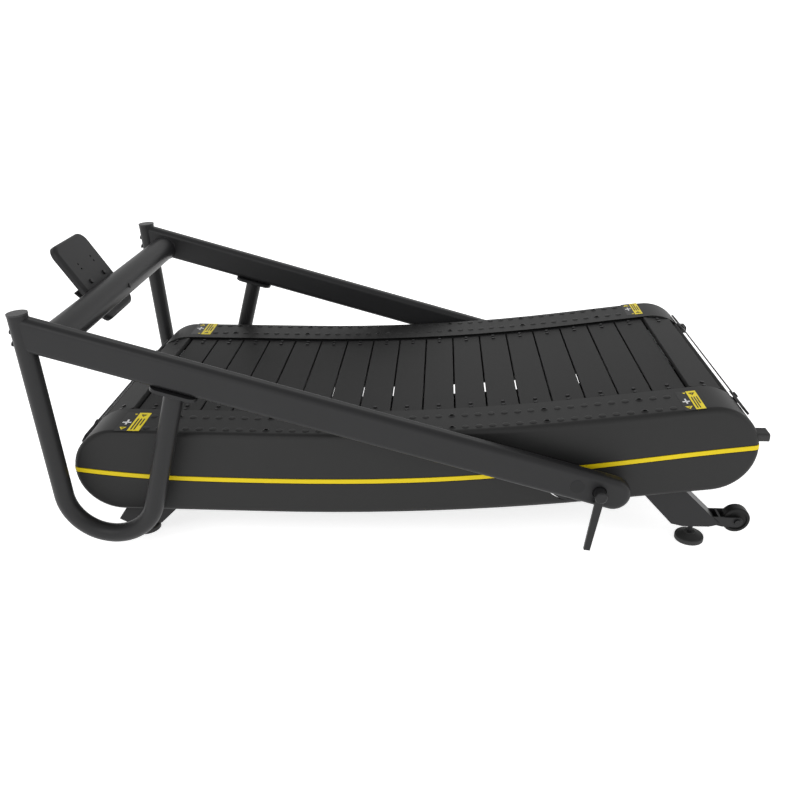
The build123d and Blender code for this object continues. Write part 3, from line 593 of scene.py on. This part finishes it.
@dataclass
class Label:
    """A printed label on a foot rail: a black half and a yellow half, with plain signs.

    Attributes:
        name: The piece's name.
        side: Which rail it is on.
        start: Distance along the deck of its rear edge.
        length: Size along the deck.
        width: Size across the rail.
        middle: Distance of its centre from the machine's middle.
        film: Thickness.
        corner: Radius of the backing's corners.
        yellow_half: Rear inner and front outer corner of the yellow field.
        cross: The same two corners for each arm of the white cross on the black half.
        caution: Centre of the hollow yellow sign on the black half.
        caution_radius: Distance from its centre to a corner.
        caution_hollow: Size of its opening, as a share of that radius.
        dot: Centre of the small yellow sign on the black half.
        dot_radius: Distance from its centre to a corner.
        notice: Centre of the hollow black sign on the yellow half.
        notice_radius: Distance from its centre to a corner.
        notice_hollow: Size of its opening, as a share of that radius.
        bars: Start along the label and end across it of each dark bar on the yellow half.
        bar_inner: Where the bars begin across the label.
        bar_width: Size of a bar along the label, as a share of its length.
    """

    name: str
    side: Side
    start: float
    length: float
    width: float = 0.102
    middle: float = 0.331
    film: float = 0.0003
    corner: float = 0.002
    yellow_half: tuple[tuple[float, float], ...] = ((0.51, 0.02), (0.98, 0.98))
    cross: tuple[tuple[tuple[float, float], ...], ...] = (
        ((0.10, 0.52), (0.44, 0.57)),
        ((0.24, 0.40), (0.31, 0.66)),
    )
    caution: tuple[float, float] = (0.26, 0.84)
    caution_radius: float = 0.0095
    caution_hollow: float = 0.45
    dot: tuple[float, float] = (0.40, 0.10)
    dot_radius: float = 0.0045
    notice: tuple[float, float] = (0.74, 0.16)
    notice_radius: float = 0.0085
    notice_hollow: float = 0.3
    bars: tuple[tuple[float, float], ...] = ((0.60, 0.92), (0.72, 0.92), (0.84, 0.70))
    bar_inner: float = 0.34
    bar_width: float = 0.055

    def panel(
        self, layer: int, low: tuple[float, float], high: tuple[float, float], corner: float = 0.0
    ) -> bpy.types.Object:
        """Models a thin rectangle in fractions of the label's size.

        Args:
            layer: How many films lie below it.
            low: Rear inner corner.
            high: Front outer corner.
            corner: Radius of the corners.

        Returns:
            The panel, in the label's own axes.
        """
        deselect_all()
        size = ((high[0] - low[0]) * self.length, (high[1] - low[1]) * self.width)
        middle = (
            ((high[0] + low[0]) / 2 - 0.5) * self.length,
            ((high[1] + low[1]) / 2 - 0.5) * self.width,
            (layer + 0.5) * self.film,
        )
        bpy.ops.mesh.primitive_cube_add(size=1, location=middle, scale=(*size, self.film))
        piece = take("panel")
        bake_place(piece, Matrix.Identity(4))
        if corner:
            self.round_corners(piece, corner)
        return piece

    def round_corners(self, piece: bpy.types.Object, corner: float) -> None:
        """Rounds a panel's four upright edges.

        Args:
            piece: The panel.
            corner: Radius of the corners.
        """
        select_only(piece)
        bpy.ops.object.mode_set(mode="EDIT")
        bpy.ops.mesh.select_mode(type="EDGE")
        bpy.ops.mesh.select_all(action="DESELECT")
        shape = bmesh.from_edit_mesh(piece.data)
        for edge in shape.edges:
            along = (edge.verts[0].co - edge.verts[1].co).normalized()
            edge.select_set(abs(along.z) > UPRIGHT)
        bmesh.update_edit_mesh(piece.data)
        bpy.ops.mesh.bevel(offset=corner, segments=4)
        bpy.ops.object.mode_set(mode="OBJECT")

    def triangle(
        self, layer: int, at: tuple[float, float], radius: float, hollow: float = 0.0
    ) -> bpy.types.Object:
        """Models a thin triangle, the plain sign for caution.

        Args:
            layer: How many films lie below it.
            at: Centre, in fractions of the label's size.
            radius: Distance from centre to corner.
            hollow: Size of a triangular opening, as a share of the radius.

        Returns:
            The triangle, in the label's own axes.
        """
        deselect_all()
        place = ((at[0] - 0.5) * self.length, (at[1] - 0.5) * self.width, (layer + 0.5) * self.film)
        bpy.ops.mesh.primitive_cylinder_add(vertices=3, radius=radius, depth=self.film, location=place)
        piece = take("triangle")
        bake_place(piece, Matrix.Identity(4))
        if hollow:
            wall = radius * (1 - hollow) / 2
            edit(piece, lambda c, n: abs(n.z) > UPRIGHT, lambda: bpy.ops.mesh.inset(thickness=wall))
            centre = Vector(place)
            edit(
                piece,
                lambda c, n: abs(n.z) > UPRIGHT and (c.xy - centre.xy).length < HAIR,
                lambda: bpy.ops.mesh.bridge_edge_loops(),
            )
        return piece

    def build(self, shop: Paintshop) -> None:
        """Makes the label's films and lays them on the rail.

        Args:
            shop: Where the finishes come from.
        """
        backing = [self.panel(0, (0, 0), (1, 1), self.corner)]
        yellow = [
            self.panel(1, *self.yellow_half),
            self.triangle(1, self.caution, self.caution_radius, self.caution_hollow),
            self.triangle(1, self.dot, self.dot_radius),
        ]
        white = [self.panel(1, low, high) for low, high in self.cross]
        signs = [self.triangle(2, self.notice, self.notice_radius, self.notice_hollow)] + [
            self.panel(2, (x, self.bar_inner), (x + self.bar_width, end)) for x, end in self.bars
        ]
        films = {
            "backing": (BLACK_INK, backing),
            "yellow": (YELLOW_INK, yellow),
            "white": (WHITE_INK, white),
            "signs": (BLACK_INK, signs),
        }
        place = DECK.place(self.start + self.length / 2, RAIL_TOP, self.side.value * self.middle)
        if self.side is Side.RIGHT:
            place = place @ Matrix.Scale(-1, 4, (0, 1, 0))
        for kind, (finish, sheets) in films.items():
            piece = join(sheets, f"{self.name}_{kind}")
            bake_place(piece, place)
            if self.side is Side.RIGHT:
                edit(piece, lambda c, n: True, lambda: bpy.ops.mesh.flip_normals())
            shop.dress(piece, finish)
            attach(piece, Body.BASE.value)
        LOG.info("%s: four films", self.name)


# Which end of a rail each label is at, where it starts along the deck and how long it is.
LABEL_ENDS = (("rear", 0.003, 0.062), ("front", 1.352, 0.047))


# ------------------------------------------------------------------ painted gap shade and welds
@dataclass
class GapShadeStrip:
    """Painted shade: a thin black strip on the inner edge of each cover's top, beside the slats, standing in
    for the shade in the gap there.

    Attributes:
        low: Offset of its lower edge from the deck's centre curve.
        high: Offset of its upper edge.
        face: Distance of its face from the machine's middle.
        thickness: Thickness of the strip, away from the slats.
        pieces: Facets along its length.
    """

    low: float = 0.1032
    high: float = 0.1078
    face: float = 0.2574
    thickness: float = 0.0005
    pieces: int = 60

    def build(self, shop: Paintshop) -> None:
        """Makes both strips.

        Args:
            shop: Where the finishes come from.
        """
        for side in Side:
            deselect_all()
            bpy.ops.mesh.primitive_grid_add(x_subdivisions=self.pieces, y_subdivisions=1, size=2)
            strip = take(f"edge_trim_{side.name.lower()}")
            for corner in strip.data.vertices:
                s = (corner.co.x + 1) / 2 * DECK.length
                offset = self.high if corner.co.y > 0 else self.low
                corner.co = DECK.place(s, offset, side.value * self.face).translation
            edit(strip, lambda c, n: True, lambda: bpy.ops.mesh.normals_make_consistent())
            apply_modifier(strip, "SOLIDIFY", thickness=self.thickness, offset=0.0)
            # the black finish paints the shade of the gap beside the slats
            shop.dress(strip, GAP_SHADE_BLACK)
            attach(strip, Body.BASE.value)
            LOG.info("%s: %d facets", strip.name, self.pieces)


@dataclass
class Welds:
    """Painted weld beads of the upright frame: round both loop legs and both ends of the crossbar.

    Attributes:
        pivot: Point that the frame folds about.
        fold_deg: Slope of the folded arms.
        arm_middle: Distance of an arm's middle plane from the machine's middle.
        loop_foot: Place of a loop's leg in the frame's own x and z.
        loop_radius: Radius of the loop's tube.
        crossbar: Place of the crossbar in the frame's own x and z.
        crossbar_radius: Radius of the crossbar.
        arm_inner: Distance of an arm's inner face from the machine's middle.
        bead: Radius of a bead.
        around: Facets round a bead.
        across: Facets round its section.
        ripple: How much every second section is scaled towards the tube and in height.
    """

    pivot: Vector
    fold_deg: float = 16.0
    arm_middle: float = 0.432
    loop_foot: tuple[float, float] = (-0.936, -0.0475)
    loop_radius: float = 0.0225
    crossbar: tuple[float, float] = (-1.228, -0.012)
    crossbar_radius: float = 0.035
    arm_inner: float = 0.4122
    bead: float = 0.0024
    around: int = 120
    across: int = 10
    ripple: tuple[float, float] = (0.994, 0.86)

    def ring(self, radius: float) -> bpy.types.Object:
        """Models one bead with fine ripples.

        Args:
            radius: Radius of the tube that it goes round.

        Returns:
            The bead, round its own Z.
        """
        deselect_all()
        bpy.ops.mesh.primitive_torus_add(
            major_radius=radius,
            minor_radius=self.bead,
            major_segments=self.around,
            minor_segments=self.across,
        )
        model = take("bead")
        towards, height = self.ripple
        for index, corner in enumerate(model.data.vertices):
            if index // self.across % 2:
                corner.co.z *= height
                corner.co.xy *= towards
        smooth(model, 60)
        return model

    def build(self, shop: Paintshop) -> None:
        """Makes the four beads.

        Args:
            shop: Where the finishes come from.
        """
        folded = Matrix.Translation(self.pivot) @ Matrix.Rotation(math.radians(self.fold_deg), 4, "Y")
        feet, ends = [], []
        for side in Side:
            x, z = self.loop_foot
            feet.append(folded @ Matrix.Translation((x, side.value * self.arm_middle, z)))
            x, z = self.crossbar
            end = Matrix.Translation((x, side.value * self.arm_inner, z))
            ends.append(folded @ end @ Matrix.Rotation(math.pi / 2, 4, "X"))
        for name, radius, places in (
            ("loop_leg_welds", self.loop_radius, feet),
            ("crossbar_welds", self.crossbar_radius, ends),
        ):
            beads = copies(self.ring(radius), places, name)
            shop.dress(beads, WELD_PAINT)
            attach(beads, Body.UPRIGHTS.value)
            LOG.info("%s: %d beads", name, len(places))


# ------------------------------------------------------------------ studio
@dataclass(frozen=True)
class Softbox:
    """A square soft lamp.

    Attributes:
        name: The lamp's name.
        at: Where it hangs.
        size: Edge of its square face.
        power: Its strength in watts.
    """

    name: str
    at: tuple[float, float, float]
    size: float
    power: float


SOFTBOXES = (
    Softbox("overhead_softbox", (0.2, 0.6, 3.2), 3.0, 8.0),
    Softbox("front_softbox", (-1.6, -3.0, 2.2), 2.0, 30.0),
    Softbox("side_softbox", (3.0, -1.5, 1.8), 1.6, 12.0),
)


@dataclass
class Studio:
    """Pale floor, soft lights and the camera.

    Attributes:
        eye: Where the camera is.
        yaw_deg: Its turn to the left of +Y.
        pitch_deg: How far it looks down.
        roll_deg: Its lean.
        lens_mm: Focal length.
        sensor_mm: Width of the sensor.
        reach: Farthest distance that the camera sees.
        horizon: Strength of the air at the horizon.
        zenith: Strength of the air overhead.
        overhead: Height of a unit direction from which the air counts as overhead.
        aim_height: Height that the lamps face.
        floor_size: Edge of the floor.
        floor_drop: How far the floor lies under the feet.
        floor_glow: Light of the back-lit floor itself.
    """

    eye: tuple[float, float, float] = (0.1122, -2.1050, 1.1925)
    yaw_deg: float = 2.96
    pitch_deg: float = 24.72
    roll_deg: float = -0.5
    lens_mm: float = 37.31
    sensor_mm: float = 36.0
    reach: float = 100.0
    horizon: float = 1.15
    zenith: float = 0.5
    overhead: float = 0.8
    aim_height: float = 0.3
    floor_size: float = 60.0
    floor_drop: float = 0.0002
    floor_glow: float = 0.75

    def camera(self) -> None:
        """Adds the camera."""
        lens = bpy.data.cameras.new("camera")
        lens.lens = self.lens_mm
        lens.sensor_width = self.sensor_mm
        lens.clip_end = self.reach
        holder = bpy.data.objects.new("camera", lens)
        bpy.context.collection.objects.link(holder)
        turn = Matrix.Rotation(math.radians(self.yaw_deg), 4, "Z")
        tilt = Matrix.Rotation(math.radians(90.0 - self.pitch_deg), 4, "X")
        lean = Matrix.Rotation(math.radians(self.roll_deg), 4, "Z")
        holder.matrix_world = Matrix.Translation(self.eye) @ turn @ tilt @ lean
        bpy.context.scene.camera = holder

    def hang(self, box: Softbox) -> None:
        """Adds a large soft lamp that faces the machine.

        Args:
            box: The lamp's settings.
        """
        lamp = bpy.data.lights.new(box.name, "AREA")
        lamp.shape = "SQUARE"
        lamp.size = box.size
        lamp.energy = box.power
        holder = bpy.data.objects.new(box.name, lamp)
        bpy.context.collection.objects.link(holder)
        holder.location = box.at
        aim = Vector((0, 0, self.aim_height)) - Vector(box.at)
        holder.rotation_euler = aim.to_track_quat("-Z", "Y").to_euler()

    def floor(self) -> None:
        """Adds the floor."""
        deselect_all()
        bpy.ops.mesh.primitive_plane_add(size=self.floor_size, location=(0, 0, -self.floor_drop))
        sheet = take("studio_floor")
        material = bpy.data.materials.new("painted_studio_floor")
        material.use_nodes = True
        tree = material.node_tree
        tree.nodes.clear()
        white = linear("#fafafa")
        paint = add_node(
            tree,
            "BsdfPrincipled",
            Base_Color=white,
            Roughness=0.95,
            Specular_IOR_Level=0.1,
            Emission_Color=white,
            Emission_Strength=self.floor_glow,
        )
        add_node(tree, "OutputMaterial", Surface=paint.outputs[0])
        sheet.data.materials.append(material)

    def sky(self, tree: bpy.types.NodeTree) -> None:
        """Makes the air bright at the horizon and dimmer overhead.

        Args:
            tree: The world's node tree.
        """
        tree.nodes.clear()
        ray = add_node(tree, "NewGeometry").outputs["Incoming"]
        rise = add_node(tree, "SeparateXYZ", Vector=ray).outputs["Z"]
        height = add_node(tree, "Math", {"operation": "ABSOLUTE"}, _0=rise).outputs[0]
        level = add_node(
            tree,
            "MapRange",
            Value=height,
            From_Max=self.overhead,
            To_Min=self.horizon,
            To_Max=self.zenith,
        ).outputs[0]
        air = add_node(tree, "Background", Color=linear("#ffffff"), Strength=level)
        add_node(tree, "OutputWorld", Surface=air.outputs[0])

    def build(self) -> None:
        """Sets up the studio."""
        self.camera()
        self.floor()
        for lamp in SOFTBOXES:
            self.hang(lamp)
        world = bpy.data.worlds.new("studio_air")
        bpy.context.scene.world = world
        world.use_nodes = True
        self.sky(world.node_tree)
        bpy.context.scene.view_settings.view_transform = "Standard"
        LOG.info("studio ready")


def main() -> None:
    """Builds every sub-assembly in order."""
    logging.basicConfig(level=logging.INFO, format="%(name)s: %(message)s")
    shop = Paintshop()
    Studio().build()
    shop.dress_frame()
    RailMarks().build(shop)
    for side in (Side.RIGHT, Side.LEFT):
        for end, start, length in LABEL_ENDS:
            Label(f"{end}_label_{side.name.lower()}", side, start, length).build(shop)
    GapShadeStrip().build(shop)
    fold_axis = joint_place("uprights_fold")
    Welds(pivot=Vector((fold_axis.x, 0.0, fold_axis.z))).build(shop)


if __name__ == "__main__":
    main()
